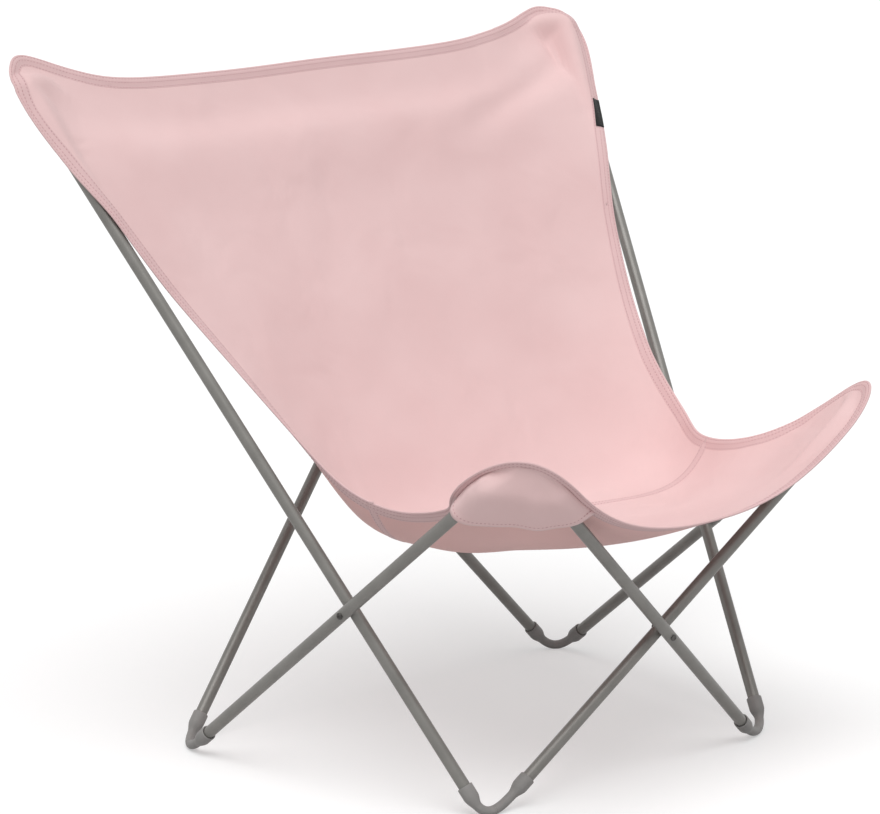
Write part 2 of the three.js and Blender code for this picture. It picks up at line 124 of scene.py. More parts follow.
def unit(vector):
    return vector / np.linalg.norm(vector, axis=-1, keepdims=True)


def smoothstep(start, end, value):
    share = np.clip((value - start) / (end - start), 0, 1)
    return share * share * (3 - 2 * share)


def travel_along(path):
    """Distance along a path from its first point to each point."""
    return np.concatenate([[0], np.cumsum(np.linalg.norm(np.diff(path, axis=0), axis=1))])


def turn_of(first, second):
    """Positive where the second of two flat directions lies to the left of the first."""
    return first[..., 0] * second[..., 1] - first[..., 1] * second[..., 0]


def between(at, travel, values):
    """Columns of values read at places along a path."""
    return np.stack([np.interp(at, travel, column) for column in values.T], axis=-1)


# The frame's lines, by the names of the tubes' bodies


def tube_line(hand, kind):
    mouth = np.array([hand * kind["foot"][0], kind["foot"][1], SOCKET_HEIGHT], float)
    joint = np.array([hand * kind["pivot"][0], *kind["pivot"][1:]], float)
    return {"mouth": mouth, "joint": joint, "length": kind["length"], "direction": unit(joint - mouth)}


lines = {
    "left_short": tube_line(-1, SIDE_SHORT),
    "left_long": tube_line(-1, SIDE_LONG),
    "right_short": tube_line(1, SIDE_SHORT),
    "right_long": tube_line(1, SIDE_LONG),
    "front_outer": tube_line(1, FRONT),
    "front_inner": tube_line(-1, FRONT),
    "back_outer": tube_line(-1, BACK),
    "back_inner": tube_line(1, BACK),
}
SCISSORS = {
    "left": ("left_short", "left_long", (-1, 0, 0)),
    "right": ("right_short", "right_long", (1, 0, 0)),
    "front": ("front_outer", "front_inner", (0, -1, 0)),
    "back": ("back_outer", "back_inner", (0, 1, 0)),
}
crossings = {}
for place, (outer, inner, facing) in SCISSORS.items():
    outward = unit(np.cross(lines[outer]["direction"], lines[inner]["direction"]))
    if outward @ np.array(facing) < 0:
        outward = -outward
    lines[outer]["mouth"] += outward * SPREAD / 2
    lines[inner]["mouth"] -= outward * SPREAD / 2
    crossings[place] = {"joint": lines[outer]["joint"], "outward": outward}
for line in lines.values():
    line["end"] = line["mouth"] + line["direction"] * line["length"]

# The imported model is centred; one crossing says by how much
spacer_low, spacer_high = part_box("spacer_left")
shift = (np.array(spacer_low) + np.array(spacer_high)) * 500 - crossings["left"]["joint"]

FEET = {
    "foot_rear_left": ("left_short", "back_outer"),
    "foot_rear_right": ("right_short", "back_inner"),
    "foot_front_left": ("left_long", "front_inner"),
    "foot_front_right": ("right_long", "front_outer"),
}
TIPS = {
    "tip_back_left": ("left_long", "back_inner"),
    "tip_back_right": ("right_long", "back_outer"),
    "tip_front_left": ("left_short", "front_outer"),
    "tip_front_right": ("right_short", "front_inner"),
}
OPEN_SOCKET = ("foot_rear_right", "back_inner")


# Mesh making


def to_row(points):
    return (np.asarray(points, float) + shift) * 0.001


def add_object(name, data):
    thing = bpy.data.objects.new(name, data)
    bpy.context.scene.collection.objects.link(thing)
    return thing


def new_piece(name, points, faces, material, uv=None):
    mesh = bpy.data.meshes.new(name)
    mesh.from_pydata(to_row(points).tolist(), [], [tuple(int(i) for i in face) for face in faces])
    mesh.polygons.foreach_set("use_smooth", [True] * len(mesh.polygons))
    if uv is not None:
        layer = mesh.uv_layers.new(name="cloth")
        corner = np.zeros(len(mesh.loops), np.int32)
        mesh.loops.foreach_get("vertex_index", corner)
        layer.data.foreach_set("uv", np.asarray(uv, np.float32)[corner].ravel())
    mesh.materials.append(material)
    return add_object(name, mesh)


def carry(piece, body, node=None):
    """Gives a piece its body, and hides the node that it stands for."""
    if node:
        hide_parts(node)
    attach(piece, body)


def grid_faces(rows, columns, closed=False):
    faces = []
    last = columns if closed else columns - 1
    for i in range(rows - 1):
        for j in range(last):
            k = (j + 1) % columns
            faces.append((i * columns + j, i * columns + k, (i + 1) * columns + k, (i + 1) * columns + j))
    return faces


def closed_band(rings):
    """Faces between rings in a row, with both ends closed."""
    count, sides = rings.shape[:2]
    faces = grid_faces(count, sides, closed=True)
    faces.append(tuple(range(sides - 1, -1, -1)))
    faces.append(tuple((count - 1) * sides + k for k in range(sides)))
    return faces


def side_frames(path):
    """Two side directions at each point, turning no more than the path does."""
    tangents = unit(np.gradient(path, axis=0))
    side = np.cross(tangents[0], (0, 0, 1.0))
    sides = []
    for tangent in tangents:
        side = unit(side - tangent * (side @ tangent))
        sides.append(side)
    return np.array(sides), np.cross(tangents, sides)


def spokes(first, second, sides):
    """Directions round a circle that starts at the first of two directions and turns to the second."""
    turn = np.arange(sides)[:, None] * 2 * math.pi / sides
    return first[..., None, :] * np.cos(turn) + second[..., None, :] * np.sin(turn)


def sweep(path, radii, sides):
    """Rings of a round bar along a path."""
    return path[:, None] + spokes(*side_frames(path), sides) * radii[:, None, None]


def lathe(profile, centre, axis, sides):
    """A turned shape from (radius, height) points about an axis."""
    first = unit(np.cross(axis, (0.3, 0.5, 0.8)))
    profile = np.array(profile)
    points = centre + axis * profile[:, 1, None, None]
    points = points + spokes(first, np.cross(axis, first), sides) * profile[:, 0, None, None]
    is_ring = np.array_equal(profile[0], profile[-1])
    faces = grid_faces(len(profile), sides, closed=True) if is_ring else closed_band(points)
    return points.reshape(-1, 3), faces


# Materials


def new_material(name):
    material = bpy.data.materials.new(name)
    material.use_nodes = True
    nodes = material.node_tree.nodes
    return material, nodes, nodes["Principled BSDF"]


def set_inputs(node, values):
    for name, value in values.items():
        node.inputs[name].default_value = value


def add_node(nodes, kind, **inputs):
    node = nodes.new("ShaderNode" + kind)
    set_inputs(node, inputs)
    return node


def join(source, output, target, entry):
    source.id_data.links.new(source.outputs[output], target.inputs[entry])


def colour_of(red, green, blue):
    """Linear colour from display values of 0 to 255."""
    values = [v / 255 for v in (red, green, blue)]
    return (*[v / 12.92 if v <= 0.04045 else ((v + 0.055) / 1.055) ** 2.4 for v in values], 1)


def mottled(nodes, shader, place, scale, shades):
    """Base colour that drifts between two close shades."""
    noise = add_node(nodes, "TexNoise", Scale=scale, Detail=4)
    join(place, "Object", noise, "Vector")
    ramp = add_node(nodes, "ValToRGB")
    for element, position, shade in zip(ramp.color_ramp.elements, (0.3, 0.7), shades):
        element.position = position
        element.color = colour_of(*shade)
    join(noise, "Fac", ramp, "Fac")
    join(ramp, "Color", shader, "Base Color")
    return ramp


def grainy_material(name, shades, roughness, metallic, grain_scale, bump):
    """Paint, metal, plastic or thread with a fine grain."""
    material, nodes, shader = new_material(name)
    shader.inputs["Metallic"].default_value = metallic
    place = add_node(nodes, "TexCoord")
    mottled(nodes, shader, place, 35, shades)
    grain = add_node(nodes, "TexNoise", Scale=grain_scale, Detail=3)
    join(place, "Object", grain, "Vector")
    rough = add_node(nodes, "MapRange")
    set_inputs(rough, {"To Min": roughness - 0.06, "To Max": roughness + 0.08})
    join(grain, "Fac", rough, "Value")
    join(rough, "Result", shader, "Roughness")
    relief = add_node(nodes, "Bump", Strength=bump, Distance=0.0002)
    join(grain, "Fac", relief, "Height")
    join(relief, "Normal", shader, "Normal")
    return material


def canvas_material(name, shades, pitch):
    """Plain weave on the cloth's own coordinates, in metres, with broad soft creases."""
    material, nodes, shader = new_material(name)
    set_inputs(shader, {"Roughness": 0.88, "Specular IOR Level": 0.25})
    set_inputs(shader, {"Sheen Weight": 0.2, "Sheen Roughness": 0.5})
    flat = add_node(nodes, "UVMap")
    flat.uv_map = "cloth"
    threads = add_node(nodes, "Math")
    threads.operation = "MULTIPLY"
    for entry, direction in enumerate("XY"):
        wave = add_node(nodes, "TexWave", Scale=math.pi / 10 / pitch, Distortion=1.2, Detail=1)
        wave.bands_direction = direction
        wave.inputs["Detail Scale"].default_value = 0.6
        join(flat, "UV", wave, "Vector")
        join(wave, "Fac", threads, entry)
    place = add_node(nodes, "TexCoord")
    shade = add_node(nodes, "MixRGB", Fac=0.14)
    shade.blend_type = "MULTIPLY"
    join(mottled(nodes, shader, place, 7, shades), "Color", shade, "Color1")
    join(threads, "Value", shade, "Color2")
    join(shade, "Color", shader, "Base Color")
    relief = add_node(nodes, "Bump", Strength=0.35, Distance=0.0003)
    join(threads, "Value", relief, "Height")
    creases = add_node(nodes, "TexNoise", Scale=9, Detail=2, Distortion=0.6, Roughness=0.35)
    join(place, "Object", creases, "Vector")
    soft_relief = add_node(nodes, "Bump", Strength=0.5, Distance=0.012)
    join(creases, "Fac", soft_relief, "Height")
    join(relief, "Normal", soft_relief, "Normal")
    join(soft_relief, "Normal", shader, "Normal")
    return material


CANVAS_PITCH = 0.0009
RIBBON_PITCH = 0.0006
tube_paint = grainy_material("tube_paint", ((120, 118, 114), (130, 128, 124)), 0.42, 0.35, 900, 0.25)
connector_plastic = grainy_material(
    "connector_plastic", ((134, 132, 130), (146, 144, 142)), 0.6, 0.0, 500, 0.35)
rivet_steel = grainy_material("rivet_steel", ((70, 68, 66), (96, 94, 92)), 0.38, 0.9, 700, 0.15)
spacer_nylon = grainy_material("spacer_nylon", ((24, 24, 25), (38, 38, 39)), 0.6, 0.0, 600, 0.2)
canvas = canvas_material("canvas", ((239, 203, 202), (244, 210, 209)), CANVAS_PITCH)
# Painted shade: a warmer, more saturated copy of the canvas for the sling's underside, which is seen only
# in shade
painted_shade_underside_canvas = canvas_material("painted_shade_underside_canvas", ((238, 191, 187), (244, 198, 194)), CANVAS_PITCH)
hem_canvas = canvas_material("hem_canvas", ((229, 193, 193), (236, 201, 201)), CANVAS_PITCH)
thread = grainy_material("thread", ((178, 128, 134), (194, 146, 150)), 0.75, 0.0, 1500, 0.3)
tag_ribbon = canvas_material("tag_ribbon", ((20, 20, 21), (30, 30, 31)), RIBBON_PITCH)


# Tubes, rivets and spacers

TUBE_SIDES = 40
TUBE_WALL = 1.2
TUBE_EDGE = 0.4
TUBE_INNER_EDGE = 0.3
for name, line in lines.items():
    start = line["mouth"] - line["direction"] * TUBE_INSERT
    length = line["length"] + 2 * TUBE_INSERT
    inner = TUBE_RADIUS - TUBE_WALL
    rim = [(inner, TUBE_EDGE), (inner + TUBE_INNER_EDGE, 0), (TUBE_RADIUS - TUBE_EDGE, 0)]
    rim.append((TUBE_RADIUS, TUBE_EDGE))
    profile = rim + [(TUBE_RADIUS, share * length) for share in np.linspace(0.02, 0.98, 25)]
    profile += [(reach, length - height) for reach, height in reversed(rim)]
    points, faces = lathe([*profile, rim[0]], start, line["direction"], TUBE_SIDES)
    tube = new_piece(f"tube_{name}_round", points, faces, tube_paint)
    carry(tube, name, f"tube_{name}")

RIVET_BODY = {"left": "left_short", "right": "right_short", "front": "front_outer", "back": "back_rivet"}
RIVET_SIDES = 28
RIVET_EDGE = 0.5
RIVET_POINT = 0.01
SPACER_EDGE = 0.3
for place, crossing in crossings.items():
    seat = 2 * TUBE_RADIUS + CROSSING_GAP / 2 + FIT
    crown = seat + RIVET_HEAD_HEIGHT
    crest = []
    for share in np.linspace(0, 1, 7):
        reach = RIVET_HEAD_RADIUS + (RIVET_DIMPLE_RADIUS + RIVET_EDGE - RIVET_HEAD_RADIUS) * share
        rise = (RIVET_HEAD_HEIGHT - RIVET_EDGE) * math.sin(share * math.pi / 2)
        crest.append((reach, seat + RIVET_EDGE + rise))
    profile = [(RIVET_POINT, -crown), (RIVET_DIMPLE_RADIUS, -crown)]
    profile += [(reach, -height) for reach, height in reversed(crest)]
    profile += [(RIVET_HEAD_RADIUS, -seat), (RIVET_RADIUS, -seat), (RIVET_RADIUS, seat)]
    profile += [(RIVET_HEAD_RADIUS, seat), *crest, (RIVET_DIMPLE_RADIUS, crown - 0.2)]
    profile += [(RIVET_DIMPLE_RADIUS, seat + 0.6), (RIVET_POINT, seat + 0.4)]
    points, faces = lathe(profile, crossing["joint"], crossing["outward"], RIVET_SIDES)
    rivet = new_piece(f"rivet_{place}_domed", points, faces, rivet_steel)
    carry(rivet, RIVET_BODY[place], f"rivet_{place}")
    half = CROSSING_GAP / 2 - FIT
    hole = RIVET_RADIUS + FIT
    face_radius = SPACER_RADIUS - SPACER_EDGE
    profile = [
        (hole, -half), (face_radius, -half), (SPACER_RADIUS, SPACER_EDGE - half),
        (SPACER_RADIUS, half - SPACER_EDGE), (face_radius, half), (hole, half), (hole, -half),
    ]
    points, faces = lathe(profile, crossing["joint"], crossing["outward"], RIVET_SIDES)
    spacer = new_piece(f"spacer_{place}_washer", points, faces, spacer_nylon)
    carry(spacer, RIVET_BODY[place], f"spacer_{place}")


# Moulded connectors: each is made as two halves that meet in the middle of the web

CONNECTOR_SIDES = 32
WEB_POINTS = 48
SOCKET_STEPS = (0, 0.35, 0.8, 4, 8, 12, 16, 18.5)
# Depth and radius of the rings inside a socket
BORE_RINGS = ((14, BORE_RADIUS), (0.6, BORE_RADIUS), (0.1, BORE_RADIUS + 0.35))
BALL_ANGLES = (20, 40, 60, 78)


def connector_path(ends, axis, reach):
    """Centre line of the web and the sockets' inner ends, from one mouth to the other."""
    starts = [mouth + direction * SOCKET_STRAIGHT for mouth, direction in ends]
    middle = (ends[0][0] + ends[1][0]) / 2
    start_height = (starts[0] + starts[1] - 2 * middle) @ axis
    pull = (ends[0][1] + ends[1][1]) @ axis
    lead = 4 * (2 * reach - start_height) / (3 * pull)
    handles = [start + direction * lead for start, (_, direction) in zip(starts, ends)]
    share = np.linspace(0, 1, WEB_POINTS + 1)[:, None]
    rest = 1 - share
    return (rest ** 3 * starts[0] + 3 * rest ** 2 * share * handles[0]
            + 3 * rest * share ** 2 * handles[1] + share ** 3 * starts[1])


def connector_half(mouth, direction, web, ball):
    """One socket and its half of the web, as rings from the bore round the rim to the web's middle."""
    path = np.vstack([mouth + direction * np.array(SOCKET_STEPS)[:, None], web])
    narrow = smoothstep(SOCKET_STRAIGHT - 6, SOCKET_LENGTH + 4, travel_along(path))
    radii = SOCKET_RADIUS + (WEB_RADIUS - SOCKET_RADIUS) * narrow
    radii[0] -= 0.8
    radii[1] -= 0.25
    rings = sweep(path, radii, CONNECTOR_SIDES)
    outward = unit(rings[0] - mouth)
    bore = [mouth + direction * depth + outward * radius for depth, radius in BORE_RINGS]
    caps = []
    if ball:
        tangent = unit(web[-1] - web[-2])
        edge = rings[-1] - web[-1]
        for angle in np.radians(BALL_ANGLES):
            caps.append(web[-1] + edge * math.cos(angle) + tangent * WEB_RADIUS * math.sin(angle))
    rings = np.array([*bore, *rings, *caps])
    return rings.reshape(-1, 3), closed_band(rings)


def make_connector(name, tubes, ends, axis, reach):
    """Two halves: a free one rides its tube, and the others stay where they are made."""
    web = connector_path(ends, axis, reach)
    for tube, (mouth, direction), way in zip(tubes, ends, (web, web[::-1])):
        half_web = way[:WEB_POINTS // 2 + 1]
        is_free = name in TIPS or (name, tube) == OPEN_SOCKET
        points, faces = connector_half(mouth, direction, half_web, is_free)
        points[:, 2] = np.maximum(points[:, 2], 0)
        half = new_piece(f"{name}_{tube}", points, faces, connector_plastic)
        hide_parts(name)
        if is_free:
            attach(half, tube)
        else:
            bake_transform(half)


for name, tubes in FEET.items():
    ends = [(lines[tube]["mouth"], -lines[tube]["direction"]) for tube in tubes]
    height = (ends[0][0][2] + ends[1][0][2]) / 2
    make_connector(name, tubes, ends, np.array([0, 0, -1.0]), height - WEB_RADIUS + FOOT_FLAT)
for name, tubes in TIPS.items():
    ends = [(lines[tube]["end"], lines[tube]["direction"]) for tube in tubes]
    make_connector(name, tubes, ends, unit(ends[0][1] + ends[1][1]), TIP_REACH)


# The sling's surface: across runs -1 left to 1 right, along runs 0 top to 1 front


LEG_REACH = 330.0
LEG_POINTS = 23
COVER_REACH = 130
# Lowest height of a tongue's hem from its tubes, the room it is moved out to its side, and how
# far the cloth may sink between the tubes
TIP_SHAPES = {
    "tip_back_left": (-9, -4, 6),
    "tip_back_right": (-8, 3, 20),
    "tip_front_left": (-60, 0, 28),
    "tip_front_right": (-60, 0, 28),
}


def in_tip(tip, points):
    """Places as distances to the side of a tip's middle, along its axis and above its plane."""
    return (points - tip["origin"]) @ tip["basis"].T


def out_of_tip(tip, places):
    return tip["origin"] + places @ tip["basis"]


def tip_frame(name):
    """The plane of one tip, with the U of its two tubes and its connector as a path in that plane."""
    legs = [lines[tube] for tube in TIPS[name]]
    normal = unit(np.cross(legs[0]["direction"], legs[1]["direction"]))
    normal = normal * np.sign(normal[2])
    axis = unit(legs[0]["direction"] + legs[1]["direction"])
    tip = {"origin": (legs[0]["end"] + legs[1]["end"]) / 2}
    tip["basis"] = np.stack([np.cross(axis, normal), axis, normal])
    tip["lowest"], tip["hem_room"], tip["sink"] = TIP_SHAPES[name]
    web = connector_path([(leg["end"], leg["direction"]) for leg in legs], axis, TIP_REACH)
    back = np.linspace(-LEG_REACH, 0, LEG_POINTS)
    ways = [leg["end"] + back[:, None] * leg["direction"] for leg in legs]
    path = in_tip(tip, np.vstack([ways[0], web, ways[1][::-1]]))
    step = np.arange(len(web))
    from_end = np.minimum(step, step[::-1]) / step[-1]
    leg_radii = np.full(LEG_POINTS, TUBE_RADIUS)
    leg_radii[-1] = SOCKET_RADIUS
    web_radii = SOCKET_RADIUS + (WEB_RADIUS - SOCKET_RADIUS) * smoothstep(0, 0.22, from_end)
    leg_cover = TUBE_RADIUS + (SOCKET_RADIUS - TUBE_RADIUS) * smoothstep(-COVER_REACH, 0, back)
    leg_fade = smoothstep(-LEG_REACH, -LEG_REACH / 2, back)
    flat = np.ones(len(web))
    for key, leg, middle in (("radii", leg_radii, web_radii), ("cover", leg_cover, SOCKET_RADIUS * flat),
                             ("fade", leg_fade, flat)):
        tip[key] = np.concatenate([leg, middle, leg[::-1]])
    tip["path"] = path
    tip["legs"] = [(path[0], path[1]), (path[-1], path[-2])]
    tip["turn"] = np.sign(turn_of(path[len(path) // 2] - path[0], path[-1] - path[0]))
    return tip


tips = {name: tip_frame(name) for name in TIPS}
MIRROR = np.array([-1, 1, 1])
back_place = (tips["tip_back_left"]["origin"] * MIRROR + tips["tip_back_right"]["origin"]) / 2
front_place = (tips["tip_front_left"]["origin"] * MIRROR + tips["tip_front_right"]["origin"]) / 2


def stations_at(along):
    """Cubic through the stations, with no curvature at both ends."""
    at, values = STATIONS[:, 0], STATIONS[:, 1:]
    along = np.clip(along, 0, 1)
    i = np.clip(np.searchsorted(at, along, side="right"), 1, len(at) - 1)
    t0, t1 = at[i - 1], at[i]
    before = np.where(i == 1, i, i - 2)
    after = np.where(i == len(at) - 1, i - 1, i + 1)
    half = (t1 - t0) / 2
    wp = half / (t0 - at[before])
    wn = half / (at[after] - t1)
    p = (along - t0) / (t1 - t0)
    sp = -wp * p ** 3 + 2 * wp * p ** 2 - wp * p
    s0 = (1 + wp) * p ** 3 + (-1.5 - 2 * wp) * p ** 2 + (-0.5 + wp) * p + 1
    s1 = (-1 - wn) * p ** 3 + (1.5 + wn) * p ** 2 + 0.5 * p
    sn = wn * p ** 3 - wn * p ** 2
    parts = zip((sp, s0, s1, sn), (before, i - 1, i, after))
    return sum(share[..., None] * values[index] for share, index in parts)


def beside(tip, places):
    """Distance outside a tip's U, the way out, and the U's height, radius and fade there."""
    path = tip["path"]
    start = path[:-1, :2]
    step = path[1:, :2] - start
    offset = places[..., None, :2] - start
    share = np.clip(np.sum(offset * step, axis=-1) / np.sum(step * step, axis=-1), 0, 1)
    offset = offset - share[..., None] * step
    reach = np.linalg.norm(offset, axis=-1)
    i = np.argmin(reach, axis=-1)
    share, reach = (np.take_along_axis(part, i[..., None], -1)[..., 0] for part in (share, reach))
    offset = np.take_along_axis(offset, i[..., None, None], -2)[..., 0, :]
    inside = turn_of(step[i], offset) * tip["turn"] > 0
    parts = (path[:, 2], tip["cover"], tip["fade"])
    found = [part[i] + (part[i + 1] - part[i]) * share for part in parts]
    return np.where(inside, -reach, reach), offset / (reach[..., None] + 1e-9), *found


SINK_REACH = 38
KNEE = 0.85
KNEE_SLOPE = -KNEE / math.sqrt(1 - KNEE * KNEE)


def height_between(tip, places):
    """Height of the plane between a tip's two tubes, which lie at unlike heights."""
    apart = []
    for start, finish in tip["legs"]:
        way = unit(finish[:2] - start[:2])
        apart.append(np.abs(turn_of(places[:, :2] - start[:2], way)))
    low, high = (start[2] for start, _ in tip["legs"])
    return low + (high - low) * apart[0] / (apart[0] + apart[1])


def dome(distance, radius, lowest, sink):
    """Height of the cloth above a bar: it hugs the bar's outer side and leaves the inner side gently."""
    share = distance / radius
    round_side = np.sqrt(1 - np.clip(share, 0, KNEE) ** 2) + KNEE_SLOPE * np.maximum(share - KNEE, 0)
    inner_side = radius - sink * smoothstep(0, SINK_REACH, -distance)
    return np.maximum(np.where(share < 0, inner_side, radius * round_side), lowest)


TIP_RANGE = 420
FADE_DROP = 60
SOFTNESS = 5


def over_tip(points, tip):
    """Carries the cloth over a tip's connector and tubes."""
    places = in_tip(tip, points)
    near = np.linalg.norm(places, axis=-1) < TIP_RANGE
    close = places[near]
    if tip["hem_room"]:
        distance, outward = beside(tip, close)[:2]
        outer = smoothstep(0, 25, close[:, 0] * np.sign(tip["hem_room"]))
        outer = outer * smoothstep(-110, -10, close[:, 1]) * smoothstep(2, 16, distance)
        close[:, :2] += abs(tip["hem_room"]) * outer[:, None] * outward
    distance, _, height, radius, fade = beside(tip, close)
    height = np.where(distance < 0, height_between(tip, close), height)
    lowest = np.where(distance < 0, -FADE_DROP, tip["lowest"])
    floor = dome(distance, radius + CLOTH_ROOM, lowest, tip["sink"])
    spare = close[:, 2] - height - floor + FADE_DROP * (1 - fade)
    close[:, 2] += np.where(spare > FADE_DROP, 0, (np.hypot(spare, SOFTNESS) - spare) / 2)
    points = points.copy()
    points[near] = out_of_tip(tip, close)
    return points


def fold_height(across, along):
    place = np.stack([across, along], axis=-1) * CLOTH_SCALE
    height = 0.8 * np.sin(7.1 * across + 5.3 * along) * np.cos(17 * along + 2.1 * across)
    height = height + 0.45 * np.sin(13 * across - 27 * along + 1.3)
    for start, finish, rise, width in FOLDS:
        offset = place - np.array(start) * CLOTH_SCALE
        way = (np.array(finish) - start) * CLOTH_SCALE
        length = np.linalg.norm(way)
        share = offset @ way / length ** 2
        aside = turn_of(way, offset) / length
        taper = smoothstep(-0.3, 0.35, share) * smoothstep(1.3, 0.65, share)
        height = height + rise * taper * np.exp(-(aside / width) ** 2)
    return height


UPWARD = np.array([0, -0.6, 0.8])


def surface(across, along):
    across, along = np.broadcast_arrays(np.asarray(across, float), np.asarray(along, float))
    hem_out, hem_back, hem_up, middle_back, middle_up, fullness = np.moveaxis(stations_at(along), -1, 0)
    line = back_place + (front_place - back_place) * along[..., None]
    bend = np.abs(across) ** fullness
    points = np.stack([
        across * (line[..., 0] + hem_out),
        line[..., 1] + middle_back + (hem_back - middle_back) * bend,
        line[..., 2] + middle_up + (hem_up - middle_up) * bend,
    ], axis=-1)
    points = points + fold_height(across, along)[..., None] * UPWARD
    points[..., 2] -= RIGHT_TONGUE_DROP * smoothstep(0.62, 0.84, across) * smoothstep(0.07, 0.025, along)
    for side, on_side in (("left", across < 0), ("right", across >= 0)):
        for end, on_end in (("back", along < 0.5), ("front", along >= 0.5)):
            part = on_side & on_end
            points[part] = over_tip(points[part], tips[f"tip_{end}_{side}"])
    return points


def rounded(across, along):
    """Moves a place of the plain grid so that the four corners of the outline are rounded."""
    side = np.maximum(0, (np.abs(across) - 1) / CORNER_WIDTH + 1)
    end = np.maximum(0, 1 - np.minimum(along, 1 - along) / CORNER_LENGTH)
    side_shift = CORNER_WIDTH * side * (np.sqrt(1 - end * end / 2) - 1)
    end_shift = CORNER_LENGTH * end * (np.sqrt(1 - side * side / 2) - 1)
    return across + np.sign(across) * side_shift, along + np.where(along < 0.5, -end_shift, end_shift)


# Cloth meshes


def vertex_normals(points, faces):
    cross = np.cross(points[faces[:, 2]] - points[faces[:, 0]], points[faces[:, 3]] - points[faces[:, 1]])
    normals = np.zeros_like(points)
    for corner in range(4):
        np.add.at(normals, faces[:, corner], cross)
    return unit(normals + 1e-12)


def cloth_uv(grid):
    """Cloth coordinates in metres: the distance across from the middle and along from the first row."""
    across = np.cumsum(np.linalg.norm(np.diff(grid, axis=1, prepend=grid[:, :1]), axis=2), axis=1)
    across = across - across[:, [grid.shape[1] // 2]]
    along = np.cumsum(np.linalg.norm(np.diff(grid, axis=0, prepend=grid[:1]), axis=2), axis=0)
    along = np.broadcast_to(along[:, [grid.shape[1] // 2]], across.shape)
    return np.stack([across, along], axis=-1).reshape(-1, 2) * 0.001


def new_sheet(name, grid, half, upward, material):
    """Closed sheet about a grid of middle points, with its half thickness and its first side's facing."""
    rows, columns = grid.shape[:2]
    points = grid.reshape(-1, 3)
    faces = np.array(grid_faces(rows, columns))
    normals = vertex_normals(points, faces)
    is_flipped = np.mean(normals @ upward) < 0
    if is_flipped:
        faces = faces[:, ::-1]
        normals = -normals
    count = len(points)
    thick = np.broadcast_to(half, (rows, columns)).reshape(-1, 1)
    both = np.vstack([points + normals * thick, points - normals * thick])
    index = np.arange(count).reshape(rows, columns)
    border = np.concatenate([index[0], index[1:, -1], index[-1, -2::-1], index[-2:0:-1, 0]])
    following = np.roll(border, -1)
    rim = np.stack([border, following, following + count, border + count], axis=-1)
    if not is_flipped:
        rim = rim[:, ::-1]
    under = (faces + count)[:, ::-1]
    uv = np.tile(cloth_uv(grid), (2, 1))
    return new_piece(name, both, np.vstack([faces, under, rim]), material, uv), normals


CORNER_STEPS = 24
CORNER_GRADING = 1.9
MIDDLE_COLUMNS = 120
BACK_STEPS = 110
SEAT_STEPS = 64
corner_places = 1 - (1 - np.linspace(0, 1, CORNER_STEPS + 1)) ** CORNER_GRADING
right_columns = 1 - CORNER_WIDTH * (1 - corner_places)
middle_columns = (1 - CORNER_WIDTH) * np.linspace(-1, 1, MIDDLE_COLUMNS + 1)[1:-1]
columns = np.concatenate([-right_columns[::-1], middle_columns, right_columns])
end_rows = CORNER_LENGTH * (1 - corner_places[::-1])
CLOTH_HALF = 0.7


def seam_offset(across):
    """How far along the cross seam bows from its middle."""
    return SEAM_CURVE * across ** 2 + SEAM_TILT * across


def panel_grid(is_back):
    seam_row, steps = (SEAM_PLACE, BACK_STEPS) if is_back else (1 - SEAM_PLACE, SEAT_STEPS)
    even_rows = CORNER_LENGTH + (seam_row - CORNER_LENGTH) * np.linspace(0, 1, steps + 1)
    rows = np.concatenate([end_rows, even_rows[1:]])
    across, row = np.meshgrid(columns, rows)
    bend = seam_offset(across) * smoothstep(2 * CORNER_LENGTH, rows[-1], row)
    return surface(*rounded(across, (row if is_back else 1 - row) + bend))


def hang(piece, body, node=None):
    """Lets a soft piece ride a part of the sling, on its own copy of its mesh."""
    carry(piece, body, node)
    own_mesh(piece)


grids = {}
for part in ("back", "seat"):
    grids[part] = panel_grid(part == "back")
    name = f"sling_{part}_panel"
    panel, _ = new_sheet(name + "_cloth", grids[part], CLOTH_HALF, UPWARD, canvas)
    # The underside faces take the warmer, more saturated copy of the canvas: painted shade
    panel.data.materials.append(painted_shade_underside_canvas)
    quads = (grids[part].shape[0] - 1) * (grids[part].shape[1] - 1)
    is_under = [int(quads <= k < 2 * quads) for k in range(len(panel.data.polygons))]
    panel.data.polygons.foreach_set("material_index", is_under)
    hang(panel, f"sling_{part}", name)


# Hems: bands traced inwards from the outline on the sling's surface

STEP = 1e-4


def slopes(across, along):
    """Change of the surface for a unit step across and along."""
    low, high = np.clip(along - STEP, 0, 1), np.clip(along + STEP, 0, 1)
    to_side = (surface(across + STEP, along) - surface(across - STEP, along)) / (2 * STEP)
    to_front = (surface(across, high) - surface(across, low)) / (high - low)[..., None]
    return to_side, to_front


def trace_band(across, along, distances, sign, closed):
    """Points and normals of curves that run beside a curve on the sling, at rising distances from it."""
    across, along = across.copy(), along.copy()
    found, travelled = [], 0.0
    for distance in distances:
        while True:
            to_side, to_front = slopes(across, along)
            place = surface(across, along)
            if closed:
                tangent = unit(np.roll(place, -1, axis=0) - np.roll(place, 1, axis=0))
            else:
                tangent = unit(np.gradient(place, axis=0))
            normal = unit(np.cross(to_front, to_side))
            inward = np.cross(normal, tangent) * sign
            step = min(1.0, distance - travelled)
            if step <= 1e-9:
                break
            e, f, g = (np.sum(p * q, axis=-1) for p, q in
                       ((to_side, to_side), (to_side, to_front), (to_front, to_front)))
            p, q = np.sum(to_side * inward, axis=-1), np.sum(to_front * inward, axis=-1)
            across = across + step * (g * p - f * q) / (e * g - f * f)
            along = along + step * (e * q - f * p) / (e * g - f * f)
            travelled += step
        found.append((place, normal, inward))
    return [np.array(part) for part in zip(*found)]


